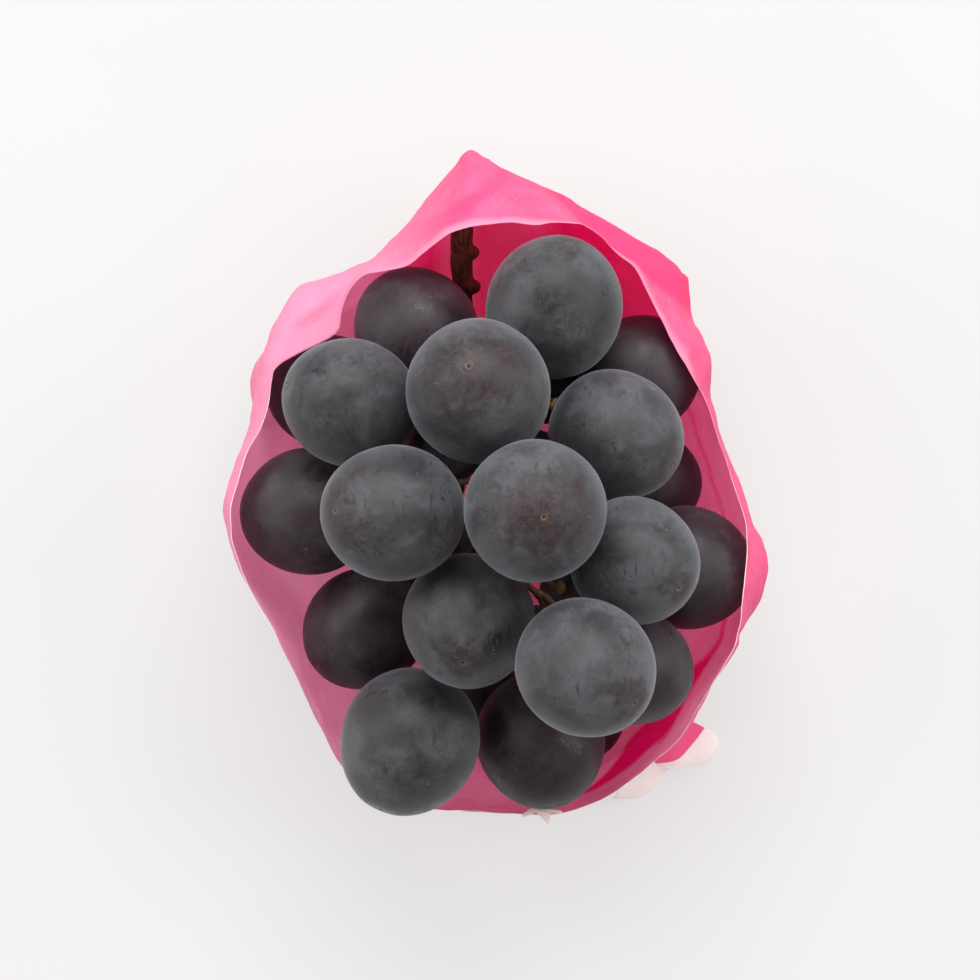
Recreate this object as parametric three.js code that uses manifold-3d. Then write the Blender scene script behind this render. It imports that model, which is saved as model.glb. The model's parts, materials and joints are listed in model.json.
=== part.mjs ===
// A bunch of large black grapes lying on its back in an open sleeve of thin paper.
//
// Frame: millimetres, +Z up, the sleeve's flat underside on z = 0. +Y runs along the bunch towards
// its cut stem, +X across it. The origin is the middle of the bunch's box, at its underside.

import * as THREE from 'three';
import { mergeVertices } from 'three/addons/utils/BufferGeometryUtils.js';
import Module from 'manifold-3d';

const wasm = await Module();
wasm.setup();

// ---------------------------------------------------------------- driving dimensions

const PAPER = 0.6;              // thickness of the sleeve's solid
const GAP = 0.35;               // left between neighbours that touch
const BERRY_LENGTH = 1.08;      // length of a berry over its width
const EGG = 0.03;               // how much fuller a berry is towards its stem
const BERRY_DETAIL = 2;         // subdivisions of a berry's icosahedron
const STEM_RADIUS = 2.4;        // the peduncle, above the first branch
const AXIS_RADIUS = 1.7;        // the main axis inside the bunch
const PEDICEL_RADIUS = 0.75;
const PEDICEL_SIDES = 5;
const PEDICEL_STEPS = 6;
const STALK_GAP = 0.6;          // between a stalk's flat end and its berry
const SHADE_BELOW = 41.5;       // berries whose middle starts lower than this have thin bloom
const BEND_MARGIN = 0.5;        // kept besides the gap where the stem passes a berry
const SLEEVE_STEPS = 68;        // grid steps round the sleeve
const SLEEVE_ROWS = 13;         // grid rows from its middle out to its rim

const up = new THREE.Vector3(0, 0, 1);
const vec = (p) => new THREE.Vector3(...p);

// ---------------------------------------------------------------- materials

const skin = new THREE.MeshStandardMaterial({ color: 0x4b4c50, roughness: 0.7, metalness: 0 });
const shadedSkin = new THREE.MeshStandardMaterial({ color: 0x35242e, roughness: 0.65, metalness: 0 });
const wood = new THREE.MeshStandardMaterial({ color: 0x5c3a1e, roughness: 0.8, metalness: 0 });
const tissue = new THREE.MeshStandardMaterial({
  color: 0xf06aa6, roughness: 0.75, metalness: 0, side: THREE.DoubleSide,
});

// ---------------------------------------------------------------- berries

// Each berry: its middle before settling, its width, and the way its blossom end points.
const BERRIES = [
  // the outer layer, from the stem down
  { at: [12.5, 36, 44], width: 28.6, tip: [0.20, 0.83, 0.52] },
  { at: [-16.5, 32, 33], width: 26.2, tip: [-0.50, 0.80, -0.10] },
  { at: [-3.5, 19, 62], width: 29.6, tip: [-0.12, 0.28, 0.95] },
  { at: [-29.5, 17, 50], width: 26.6, tip: [-0.90, 0.27, 0.34] },
  { at: [24.5, 10.5, 52], width: 26.8, tip: [0.82, -0.42, 0.39] },
  { at: [30, 23.5, 27], width: 25, tip: [0.80, 0.40, -0.40] },
  { at: [-35, 19.5, 19], width: 24.6, tip: [-0.90, 0.20, -0.30] },
  { at: [-20.5, -5.5, 65], width: 27.6, tip: [-0.73, 0.02, 0.68], length: 1.13 },
  { at: [8, -5, 76], width: 28.8, tip: [0.10, -0.07, 0.99] },
  { at: [-38.5, -5.5, 37], width: 26.8, tip: [-0.95, -0.10, -0.20] },
  { at: [28, -15, 59], width: 26, tip: [0.63, -0.38, 0.68] },
  { at: [39.8, -17, 35.5], width: 26.2, tip: [0.95, -0.10, 0.10] },
  { at: [31, 0.5, 18], width: 23.2, tip: [0.90, 0.10, -0.40] },
  { at: [-27, -29.5, 34], width: 25.4, tip: [-0.79, -0.54, 0.30] },
  { at: [-5.5, -27.5, 57], width: 27.2, tip: [-0.07, -0.56, 0.82] },
  { at: [18, -36, 70], width: 27.6, tip: [0.63, -0.45, 0.63] },
  { at: [28, -37, 41], width: 24, tip: [0.80, -0.40, -0.30] },
  { at: [-17.5, -52, 46], width: 29, tip: [-0.37, -0.90, 0.20] },
  { at: [9.5, -52.5, 36], width: 27.2, tip: [0.25, -0.90, 0.30] },
  // the inner layer, against the back of the sleeve
  { at: [17.5, -48, 13], width: 21, tip: [0.30, -0.60, -0.70] },
  { at: [21, -24, 17], width: 23.2, tip: [0.60, -0.20, -0.80] },
  { at: [11, 23, 13.6], width: 22, tip: [0.10, 0.60, -0.80] },
  { at: [-18, 1.5, 16], width: 24, tip: [-0.40, 0.10, -0.90] },
  { at: [7, 2, 14], width: 23.6, tip: [0.20, 0.0, -0.98] },
  { at: [-11, -22.5, 14], width: 23.6, tip: [-0.30, -0.30, -0.90] },
  { at: [-4, -45.5, 15], width: 20.4, tip: [-0.10, -0.70, -0.70] },
  // small ones between the two, round the main axis
  { at: [-12.5, -9, 41], width: 17, tip: [-0.90, -0.20, 0.10] },
  { at: [16, -1, 40], width: 17, tip: [0.90, 0.10, 0.20] },
  { at: [9, -32, 37], width: 14, tip: [0.40, -0.70, 0.30] },
  { at: [-10.5, 8, 40], width: 16, tip: [-0.80, 0.50, 0.20] },
].map((berry, i) => ({
  name: `berry_${String(i + 1).padStart(2, '0')}`,
  at: vec(berry.at),
  tip: vec(berry.tip).normalize(),
  radius: berry.width / 2,
  length: berry.length ?? BERRY_LENGTH,
  shaded: berry.at[2] < SHADE_BELOW,
}));

// How far a berry reaches from its middle in a direction.
function reach(berry, direction) {
  const along = direction.dot(berry.tip) * berry.length;
  const across = 1 - direction.dot(berry.tip) ** 2;
  return berry.radius * (1 + EGG) * Math.sqrt(along ** 2 + across);
}

// Moves the berries apart, mostly up and down, until each has its own room on the paper.
function settle(berries) {
  const rounds = 2500;
  const share = 0.25;
  const sideways = 0.35;
  const homing = 0.01;
  const homes = berries.map((berry) => berry.at.clone());
  const between = new THREE.Vector3();
  const push = new THREE.Vector3();
  for (let round = 0; round < rounds; round += 1) {
    let worst = 0;
    berries.forEach((one, i) => {
      berries.slice(i + 1).forEach((other) => {
        between.subVectors(other.at, one.at);
        const apart = between.length();
        between.normalize();
        const overlap = reach(one, between) + reach(other, between) + GAP - apart;
        if (overlap <= 0) return;
        worst = Math.max(worst, overlap);
        push.set(between.x * sideways, between.y * sideways, between.z).normalize();
        push.multiplyScalar(overlap * share / Math.max(Math.abs(push.dot(between)), 0.2));
        one.at.sub(push);
        other.at.add(push);
      });
    });
    berries.forEach((berry, i) => {
      berry.at.z = Math.max(berry.at.z, PAPER + GAP + reach(berry, up));
      berry.at.x += (homes[i].x - berry.at.x) * homing;
      berry.at.y += (homes[i].y - berry.at.y) * homing;
    });
    if (worst < GAP / 8) return;
  }
}

// An egg a little fuller towards its stem, on its own axis.
function berryGeometry(berry) {
  const shape = mergeVertices(plain(new THREE.IcosahedronGeometry(1, BERRY_DETAIL)));
  const place = shape.attributes.position;
  for (let i = 0; i < place.count; i += 1) {
    const z = place.getZ(i);
    const full = berry.radius * (1 - EGG * z);
    place.setXYZ(i, place.getX(i) * full, place.getY(i) * full, z * berry.radius * berry.length);
  }
  shape.applyQuaternion(new THREE.Quaternion().setFromUnitVectors(up, berry.tip));
  return shape;
}

// ---------------------------------------------------------------- solids

function plain(geometry) {
  geometry.deleteAttribute('normal');
  geometry.deleteAttribute('uv');
  return geometry;
}

function toSolid(geometry) {
  const merged = mergeVertices(plain(geometry), 1e-4);
  return new wasm.Manifold(new wasm.Mesh({
    numProp: 3,
    vertProperties: new Float32Array(merged.attributes.position.array),
    triVerts: new Uint32Array(merged.index.array),
  }));
}

function toGeometry(solid) {
  const mesh = solid.getMesh();
  const geometry = new THREE.BufferGeometry();
  geometry.setAttribute('position', new THREE.BufferAttribute(mesh.vertProperties, 3));
  geometry.setIndex(new THREE.BufferAttribute(mesh.triVerts, 1));
  return geometry;
}

// A round rod along a smooth path.
function rod(points, radius, sides, steps) {
  const section = new THREE.Shape();
  for (let i = 0; i < sides; i += 1) {
    const turn = (2 * Math.PI * i) / sides;
    const corner = [radius * Math.cos(turn), radius * Math.sin(turn)];
    if (i === 0) section.moveTo(...corner);
    else section.lineTo(...corner);
  }
  section.closePath();
  const extrudePath = new THREE.CatmullRomCurve3(points, false, 'centripetal');
  return new THREE.ExtrudeGeometry(section, { steps, extrudePath });
}

// ---------------------------------------------------------------- stem

// The peduncle and the main axis, from the cut end down into the bunch.
const PEDUNCLE_END = 40;        // the height along the bunch where the peduncle thins to the axis
const AXIS_POINTS = [
  [-6.8, 61, 29], [-7, 54, 27], [-7, 48, 23.5], [-6.9, 42, 19.5], [-6.5, 37, 18], [-5.2, 32.5, 20],
  [-3.6, 28.5, 23.5], [-1.5, 24, 29], [0, 20, 33], [1.5, 14, 38], [3, 5, 39], [4, -5, 38],
  [4, -15, 37], [3, -26, 35], [2, -36, 34],
].map(vec);

// Bends the inner points of a path round the berries, all but the one that it feeds.
function steerClear(path, { radius, fed = null, smoothing = 0.3 }) {
  const rounds = 150;
  const between = new THREE.Vector3();
  for (let round = 0; round < rounds; round += 1) {
    for (let i = 1; i < path.length - 1; i += 1) {
      const middle = path[i - 1].clone().add(path[i + 1]).multiplyScalar(0.5);
      path[i].lerp(middle, smoothing);
      BERRIES.filter((berry) => berry !== fed).forEach((berry) => {
        between.subVectors(path[i], berry.at);
        const apart = between.length();
        between.normalize();
        const room = reach(berry, between) + radius + GAP + BEND_MARGIN;
        if (apart < room) path[i].addScaledVector(between, room - apart);
      });
    }
  }
  return path;
}

// The stalk of one berry: from the main axis a little nearer the stem, to the berry's stem end.
function pedicelPath(berry, axis) {
  const neck = 4.5;
  const lean = 7;
  const end = berry.at.clone().addScaledVector(berry.tip, -berry.radius * berry.length - STALK_GAP);
  const bend = end.clone().addScaledVector(berry.tip, -neck);
  const wanted = bend.clone().setY(bend.y + lean);
  const start = axis.reduce((best, point) => (
    point.distanceTo(wanted) < best.distanceTo(wanted) ? point : best));
  const path = [start.clone()];
  const inner = 5;
  for (let i = 1; i <= inner; i += 1) path.push(start.clone().lerp(bend, i / (inner + 1)));
  path.push(bend, end);
  return steerClear(path, { radius: PEDICEL_RADIUS, fed: berry });
}

function stemGeometry() {
  const middleLine = steerClear(AXIS_POINTS, { radius: STEM_RADIUS, smoothing: 0.008 });
  const along = new THREE.CatmullRomCurve3(middleLine, false, 'centripetal').getSpacedPoints(60);
  const branching = along.filter((point) => point.y < PEDUNCLE_END + 4);
  const peduncle = along.filter((point) => point.y > PEDUNCLE_END);
  let stem = toSolid(rod(branching, AXIS_RADIUS, 7, 14));
  stem = stem.add(toSolid(rod(peduncle, STEM_RADIUS, 8, 6)));
  BERRIES.forEach((berry) => {
    const stalk = rod(pedicelPath(berry, branching), PEDICEL_RADIUS, PEDICEL_SIDES, PEDICEL_STEPS);
    stem = stem.add(toSolid(stalk));
  });
  return toGeometry(stem);
}

// ---------------------------------------------------------------- paper sleeve

// Going round the sleeve from the peak over the stem, anticlockwise seen from above:
// where its wall leaves the table, its widest part, and its rim.
const SLEEVE = [
  { foot: [-3, 50], side: [-5.4, 70.6, 24], rim: [-4, 53.2, 50] },
  { foot: [-8, 48.5], side: [-12, 63, 25], rim: [-9.6, 51.4, 49] },
  { foot: [-14.5, 45], side: [-20, 53.2, 26], rim: [-17.9, 45.4, 45] },
  { foot: [-21.5, 41], side: [-26.5, 46.6, 27], rim: [-25.5, 42.3, 38] },
  { foot: [-25, 38], side: [-33.5, 43.4, 27], rim: [-29.6, 35.5, 34] },
  { foot: [-27, 34.5], side: [-41.8, 40.6, 27], rim: [-34, 30.8, 32.5] },
  { foot: [-30, 28], side: [-47, 30.5, 27], rim: [-42, 26.6, 32.5] },
  { foot: [-33.5, 21.5], side: [-49.4, 22, 27], rim: [-45.9, 23, 33.5] },
  { foot: [-35, 14.5], side: [-51, 14.5, 28], rim: [-47, 14.5, 39] },
  { foot: [-37, 8], side: [-53.2, 6.5, 30], rim: [-51, 6, 46] },
  { foot: [-38, -4], side: [-55.6, -4, 32], rim: [-53.6, -4, 50] },
  { foot: [-37.5, -10], side: [-54, -11, 30], rim: [-53.4, -11, 51] },
  { foot: [-36, -17], side: [-51.5, -18, 28], rim: [-51.4, -18, 50] },
  { foot: [-32, -30], side: [-44, -31.5, 26], rim: [-45, -31.5, 47] },
  { foot: [-25.5, -43], side: [-35.5, -48, 20], rim: [-37, -48.5, 39] },
  { foot: [-18.5, -50.5], side: [-28.5, -59.5, 16], rim: [-30, -60.5, 31] },
  { foot: [-9.5, -54.5], side: [-15, -65.5, 14], rim: [-16, -67, 25] },
  { foot: [0, -56], side: [0, -67, 14], rim: [-1, -68, 25] },
  { foot: [8, -55.5], side: [13.5, -66.5, 16], rim: [13, -68.3, 29] },
  { foot: [15, -53.5], side: [23, -63, 20], rim: [23.7, -64, 33] },
  { foot: [22, -49], side: [32, -56, 24], rim: [33.4, -56.4, 38] },
  { foot: [26.5, -44], side: [38.5, -49.5, 28], rim: [39.2, -50, 42] },
  { foot: [30.5, -38], side: [44.5, -39.5, 32], rim: [44.7, -39.7, 45] },
  { foot: [34, -30], side: [50.2, -31, 34], rim: [49.4, -30.5, 46] },
  { foot: [37, -22], side: [52.4, -22.5, 34], rim: [50.6, -22, 47] },
  { foot: [38, -14], side: [53.8, -14, 34], rim: [51.6, -13, 47] },
  { foot: [37.5, -6], side: [52.6, -6, 32], rim: [51, -6, 46] },
  { foot: [36, 6], side: [47.6, 8, 28], rim: [46.6, 8, 41] },
  { foot: [35, 15], side: [45.4, 17, 26], rim: [43.6, 17.5, 40] },
  { foot: [33, 24], side: [42.6, 27, 26], rim: [37.9, 27, 41] },
  { foot: [31, 31], side: [41.4, 37.5, 26], rim: [33, 37, 43] },
  { foot: [26, 38.5], side: [39.2, 45.8, 26], rim: [28.4, 45.4, 45] },
  { foot: [19, 44.5], side: [24.2, 55.2, 26], rim: [20.6, 50.2, 47] },
  { foot: [10, 48.5], side: [12.4, 61.6, 25], rim: [12.6, 53, 48.5] },
  { foot: [3, 50], side: [1.6, 67.2, 24], rim: [4, 53.9, 49.5] },
];

const RING_MIDDLE = [0, -3, 0];
const TAUT = 0.3;               // how little the paper rounds off between the places above
const FOOT_HEIGHT = 0;
const HEEL = { out: 0.35, height: 3.2 };   // where the wall starts to rise, on its way to the side

// The middle surface of the sleeve as rings of points, from its flat middle out to the rim.
function sleeveRings() {
  const closed = (points) => new THREE.CatmullRomCurve3(points, true, 'catmullrom', TAUT);
  const foot = SLEEVE.map((station) => vec([...station.foot, FOOT_HEIGHT]));
  const side = SLEEVE.map((station) => vec(station.side));
  const heel = foot.map((point, i) => point.clone().lerp(side[i], HEEL.out).setZ(HEEL.height));
  const rim = SLEEVE.map((station) => vec(station.rim));
  const guides = [foot, heel, side, rim].map(closed);
  const rings = [];
  const footRow = 4;
  for (let row = 1; row <= footRow; row += 1) {
    rings.push(ringAt((turn) => vec(RING_MIDDLE).lerp(guides[0].getPoint(turn), row / footRow)));
  }
  for (let row = footRow + 1; row <= SLEEVE_ROWS; row += 1) {
    const t = (row - footRow) / (SLEEVE_ROWS - footRow);
    rings.push(ringAt((turn) => {
      const rail = guides.map((guide) => guide.getPoint(turn));
      return new THREE.CatmullRomCurve3(rail, false, 'centripetal').getPointAt(t);
    }));
  }
  return rings;
}

function ringAt(pointAt) {
  return Array.from({ length: SLEEVE_STEPS }, (_, i) => pointAt(i / SLEEVE_STEPS));
}

// Moves the wall out of the way of the berries; the flat middle stays on the table.
function easeOff(rings) {
  const room = PAPER + GAP + 0.8;
  const between = new THREE.Vector3();
  const rounds = 12;
  for (let round = 0; round < rounds; round += 1) {
    rings.flat().filter((point) => point.z > 0.5).forEach((point) => {
      BERRIES.forEach((berry) => {
        between.subVectors(point, berry.at);
        const apart = between.length();
        between.normalize();
        const need = reach(berry, between) + room;
        if (apart < need) point.addScaledVector(between, need - apart);
        point.z = Math.max(point.z, 0.6);
      });
    });
  }
  return rings;
}

// A closed solid of even thickness on the rings: its underside, its inside and the edge at the rim.
function sleeveGeometry() {
  const rings = easeOff(sleeveRings());
  const outer = [vec(RING_MIDDLE), ...rings.flat()];
  const id = (row, i) => 1 + row * SLEEVE_STEPS + ((i + SLEEVE_STEPS) % SLEEVE_STEPS);
  const top = [];
  for (let i = 0; i < SLEEVE_STEPS; i += 1) top.push(0, id(0, i), id(0, i + 1));
  for (let row = 0; row + 1 < rings.length; row += 1) {
    for (let i = 0; i < SLEEVE_STEPS; i += 1) {
      top.push(id(row, i), id(row + 1, i), id(row + 1, i + 1));
      top.push(id(row, i), id(row + 1, i + 1), id(row, i + 1));
    }
  }
  const sheet = new THREE.BufferGeometry();
  sheet.setAttribute('position', new THREE.Float32BufferAttribute(outer.flatMap((p) => p.toArray()), 3));
  sheet.setIndex(top);
  sheet.computeVertexNormals();
  const facing = sheet.attributes.normal;
  const inner = outer.map((point, i) => {
    const inward = new THREE.Vector3().fromBufferAttribute(facing, i);
    const lifted = point.clone().addScaledVector(inward, PAPER);
    if (point.z === 0) lifted.copy(point).setZ(PAPER);
    return lifted;
  });
  const shift = outer.length;
  const faces = [];
  for (let i = 0; i < top.length; i += 3) {
    faces.push(top[i] + shift, top[i + 1] + shift, top[i + 2] + shift);
    faces.push(top[i], top[i + 2], top[i + 1]);
  }
  const last = rings.length - 1;
  for (let i = 0; i < SLEEVE_STEPS; i += 1) {
    const a = id(last, i);
    const b = id(last, i + 1);
    faces.push(a, b, b + shift, a, b + shift, a + shift);
  }
  const geometry = new THREE.BufferGeometry();
  const corners = [...outer, ...inner].flatMap((p) => p.toArray());
  geometry.setAttribute('position', new THREE.Float32BufferAttribute(corners, 3));
  geometry.setIndex(faces);
  return geometry;
}

// ---------------------------------------------------------------- assembly

function piece(name, geometry, material, at = null) {
  const mesh = new THREE.Mesh(geometry, material);
  mesh.name = name;
  if (at) mesh.position.copy(at);
  return mesh;
}

settle(BERRIES);

const bunch = new THREE.Group();
BERRIES.forEach((berry) => {
  bunch.add(piece(berry.name, berryGeometry(berry), berry.shaded ? shadedSkin : skin, berry.at));
});
bunch.add(piece('stem', stemGeometry(), wood));
bunch.add(piece('paper_sleeve', sleeveGeometry(), tissue));

// The origin goes to the middle of the box, at its underside.
const box = new THREE.Box3().setFromObject(bunch);
const middle = box.getCenter(new THREE.Vector3());
bunch.position.set(-middle.x, -middle.y, -box.min.z);
bunch.updateMatrixWorld(true);

export default bunch;
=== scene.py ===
"""Looks for a bunch of black grapes lying in an open sleeve of thin pink paper.

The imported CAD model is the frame: every berry, the stem and the sleeve are rebuilt finely where it
has them. Metres, +Z up, +Y towards the cut stem.
"""
import json
import math

import bmesh
import bpy
import numpy as np
from mathutils import Matrix, Vector, noise
from mathutils.kdtree import KDTree


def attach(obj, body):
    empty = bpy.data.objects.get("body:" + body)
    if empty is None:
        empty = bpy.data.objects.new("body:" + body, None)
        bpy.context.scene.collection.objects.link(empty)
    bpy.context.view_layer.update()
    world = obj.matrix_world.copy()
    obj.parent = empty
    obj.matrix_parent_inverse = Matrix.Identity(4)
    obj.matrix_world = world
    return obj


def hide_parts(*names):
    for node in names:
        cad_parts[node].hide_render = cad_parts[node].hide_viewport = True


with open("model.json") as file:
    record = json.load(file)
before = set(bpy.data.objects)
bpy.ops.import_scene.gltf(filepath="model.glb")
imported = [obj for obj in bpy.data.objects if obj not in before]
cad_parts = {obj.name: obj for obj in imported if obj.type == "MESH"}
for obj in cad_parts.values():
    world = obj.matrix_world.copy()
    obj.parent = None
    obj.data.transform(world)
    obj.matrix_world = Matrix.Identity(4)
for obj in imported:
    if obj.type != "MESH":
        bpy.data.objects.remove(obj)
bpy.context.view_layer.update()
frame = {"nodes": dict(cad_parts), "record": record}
nodes = frame["nodes"]
MM = 0.001

# ------------------------------------------------------------------ camera

CAMERA_HEIGHT = 0.995            # above the table, looking straight down on the bunch
CAMERA_AIM = (-0.0013, -0.0018)  # the point of the table under the lens
FOCUS_HEIGHT = 0.045             # the height where the frame is FRAME_WIDTH wide
FRAME_WIDTH = 0.2009
SENSOR = 36.0


def make_camera():
    data = bpy.data.cameras.new("camera")
    data.sensor_width = SENSOR
    data.lens = SENSOR * (CAMERA_HEIGHT - FOCUS_HEIGHT) / FRAME_WIDTH
    data.clip_start = 0.05
    camera = bpy.data.objects.new("camera", data)
    camera.location = (CAMERA_AIM[0], CAMERA_AIM[1], CAMERA_HEIGHT)
    bpy.context.scene.collection.objects.link(camera)
    bpy.context.scene.camera = camera


make_camera()

# ------------------------------------------------------------------ helpers


def new_object(name, verts, faces, material):
    mesh = bpy.data.meshes.new(name)
    mesh.from_pydata([tuple(v) for v in verts], [], faces)
    mesh.polygons.foreach_set("use_smooth", [True] * len(mesh.polygons))
    mesh.materials.append(material)
    obj = bpy.data.objects.new(name, mesh)
    bpy.context.scene.collection.objects.link(obj)
    return obj


def add_attribute(obj, name, values):
    layer = obj.data.attributes.new(name, "FLOAT", "POINT")
    layer.data.foreach_set("value", np.asarray(values, np.float32))


def points_of(node):
    """The corners of a node of the frame, each of them once."""
    co = np.array([v.co for v in nodes[node].data.vertices], float)
    return np.unique(np.round(co, 7), axis=0)


def smoothstep(low, high, x):
    """0 at low, 1 at high and a smooth change between; low may be the larger of the two."""
    t = np.clip((x - low) / (high - low), 0, 1)
    return t * t * (3 - 2 * t)


def noise_field(points, scale, seed):
    """Smooth noise from -1 to 1 at each point, with scale lumps to the metre."""
    shift = Vector((seed * 13.7, seed * -7.3, seed * 3.1))
    return np.array([noise.noise(Vector(p) * scale + shift) for p in points])


class Graph:
    """A node material, built by calls."""

    def __init__(self, name):
        self.material = bpy.data.materials.new(name)
        self.material.use_nodes = True
        self.tree = self.material.node_tree
        self.tree.nodes.clear()

    def node(self, kind, **settings):
        made = self.tree.nodes.new(kind)
        for key, value in settings.items():
            setattr(made, key, value)
        return made

    def wire(self, value, socket):
        if isinstance(value, bpy.types.NodeSocket):
            self.tree.links.new(value, socket)
        else:
            socket.default_value = value

    def math(self, operation, a, b=0.0, clamp=False):
        made = self.node("ShaderNodeMath", operation=operation, use_clamp=clamp)
        self.wire(a, made.inputs[0])
        self.wire(b, made.inputs[1])
        return made.outputs[0]

    def times(self, a, b):
        return self.math("MULTIPLY", a, b)

    def plus(self, a, b, clamp=False):
        return self.math("ADD", a, b, clamp)

    def larger(self, a, b):
        return self.math("MAXIMUM", a, b)

    def swing(self, value, amount):
        """A noise that lies round 0.5, moved to lie round 0 and made amount times as wide."""
        return self.times(self.math("SUBTRACT", value, 0.5), amount)

    def span(self, value, low, high, out_low=0.0, out_high=1.0):
        made = self.node("ShaderNodeMapRange", interpolation_type="SMOOTHSTEP")
        for socket, v in zip(made.inputs, (value, low, high, out_low, out_high)):
            self.wire(v, socket)
        return made.outputs[0]

    def mix(self, factor, a, b):
        made = self.node("ShaderNodeMix", data_type="RGBA")
        self.wire(factor, made.inputs[0])
        for value, socket in ((a, made.inputs[6]), (b, made.inputs[7])):
            self.wire((*value, 1.0) if isinstance(value, tuple) else value, socket)
        return made.outputs[2]

    def vector(self, operation, a, b):
        made = self.node("ShaderNodeVectorMath", operation=operation)
        self.wire(a, made.inputs[0])
        self.wire(b, made.inputs[1])
        return made.outputs[0]

    def noise(self, where, scale, detail=2.0, rough=0.5, distortion=0.0):
        made = self.node("ShaderNodeTexNoise")
        self.wire(where, made.inputs["Vector"])
        self.wire(scale, made.inputs["Scale"])
        self.wire(detail, made.inputs["Detail"])
        self.wire(rough, made.inputs["Roughness"])
        self.wire(distortion, made.inputs["Distortion"])
        return made.outputs["Fac"]

    def cells(self, where, scale):
        made = self.node("ShaderNodeTexVoronoi")
        self.wire(where, made.inputs["Vector"])
        self.wire(scale, made.inputs["Scale"])
        return made.outputs["Distance"]

    def attribute(self, name):
        return self.node("ShaderNodeAttribute", attribute_name=name).outputs["Fac"]

    def place(self):
        return self.node("ShaderNodeTexCoord").outputs["Object"]

    def bump(self, height, distance, strength):
        made = self.node("ShaderNodeBump")
        self.wire(strength, made.inputs["Strength"])
        self.wire(distance, made.inputs["Distance"])
        self.wire(height, made.inputs["Height"])
        return made.outputs[0]

    def principled(self, **inputs):
        made = self.node("ShaderNodeBsdfPrincipled")
        for key, value in inputs.items():
            self.wire(value, made.inputs[key.replace("_", " ")])
        return made.outputs[0]

    def finish(self, shader):
        out = self.node("ShaderNodeOutputMaterial")
        self.tree.links.new(shader, out.inputs["Surface"])
        return self.material


# ------------------------------------------------------------------ materials


WAX_CRUMB = (0.20, 0.205, 0.22)
WAX_SMEAR = (0.15, 0.155, 0.167)
BROWN_DARK = (0.018, 0.0075, 0.0085)
BROWN_LIGHT = (0.034, 0.019, 0.020)
CORK_RING = (0.115, 0.055, 0.026)
SCAR_HOLE = (0.03, 0.012, 0.006)
BROWN_REACH = 1.8                # how far brown spreads from a scar with no halo, in millimetres
HALO_REACH = 10.5                # and how much farther for a halo of 1


def berry_material(name, skin, bloom_low, bloom_high, cover, sheen):
    """Blue-black skin under a thin grey wax bloom that is rubbed, scratched and pitted."""
    g = Graph(name)
    where = g.place()
    clouds = g.noise(where, 95.0, 4.0, 0.55, 0.4)
    patches = g.noise(where, 230.0, 5.0, 0.62, 1.2)
    mottle = g.noise(where, 620.0, 3.0, 0.6, 0.6)
    fine = g.noise(where, 1900.0, 3.0, 0.7)
    rub_area = g.span(g.noise(where, 62.0, 2.0, 0.5, 0.8), 0.53, 0.61)
    lost = wax_lost(g, where, patches, rub_area)
    wax = g.times(g.span(clouds, 0.30, 0.68, cover, 1.0), g.math("SUBTRACT", 1.0, lost))
    wax = g.plus(wax, g.swing(mottle, 0.95))
    wax = g.plus(wax, g.swing(fine, 0.60), clamp=True)
    bloom = g.mix(g.span(clouds, 0.3, 0.75), bloom_low, bloom_high)
    colour = g.mix(wax, skin, bloom)
    browns = g.mix(g.span(mottle, 0.35, 0.68), BROWN_DARK, BROWN_LIGHT)
    brown = brown_cover(g, clouds, patches, mottle)
    colour = g.mix(g.times(brown, 0.92), colour, browns)
    # crumbs of wax standing on the skin
    crumb = g.span(g.cells(g.vector("ADD", where, (0.4, 0.1, 0.2)), 420.0), 0.03, 0.075, 1.0, 0.0)
    crumb = g.times(crumb, g.span(g.noise(where, 260.0, 1.0), 0.60, 0.66))
    colour = g.mix(g.times(crumb, 0.6), colour, WAX_CRUMB)
    # pale smears where the wax was pushed together
    smear = g.times(g.span(patches, 0.60, 0.68), g.span(fine, 0.50, 0.62))
    smear = g.times(smear, g.span(rub_area, 0.2, 0.9))
    colour = g.mix(g.times(smear, 0.55), colour, WAX_SMEAR)
    colour = scar_colour(g, colour, fine)
    height = g.plus(g.times(wax, 0.5), g.times(crumb, 1.0))
    height = g.plus(height, g.times(patches, 0.35))
    shader = g.principled(
        Base_Color=colour, Roughness=g.span(wax, 0.3, 1.0, 0.42, 0.68),
        Normal=g.bump(height, 0.00005, 0.55), Specular_IOR_Level=0.27,
        Sheen_Weight=sheen, Sheen_Roughness=0.42, Sheen_Tint=(0.88, 0.91, 1.0, 1.0),
    )
    return g.finish(shader)


def wax_lost(g, where, patches, rub_area):
    """How much of the wax has gone: rubs, worn rings and curls, specks and scratches."""
    rub = g.times(rub_area, g.span(patches, 0.48, 0.53))
    contour = g.math("ABSOLUTE", g.math("SUBTRACT", patches, 0.47))
    curl_area = g.span(g.noise(where, 75.0, 2.0, 0.6, 0.3), 0.52, 0.60)
    curl = g.times(g.span(contour, 0.004, 0.018, 1.0, 0.0), curl_area)
    speck = g.span(g.cells(where, 640.0), 0.06, 0.20, 1.0, 0.0)
    speck = g.times(speck, g.span(g.noise(where, 190.0, 3.0, 0.6), 0.50, 0.60))
    stretched = g.vector("MULTIPLY", where, (1.0, 0.16, 0.5))
    scratch = g.span(g.noise(stretched, 900.0, 1.0, 0.4, 0.5), 0.675, 0.71)
    lost = g.larger(g.times(rub, 0.50), g.times(speck, 0.85))
    lost = g.larger(lost, g.times(curl, 0.70))
    return g.larger(lost, g.times(scratch, 0.45))


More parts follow.
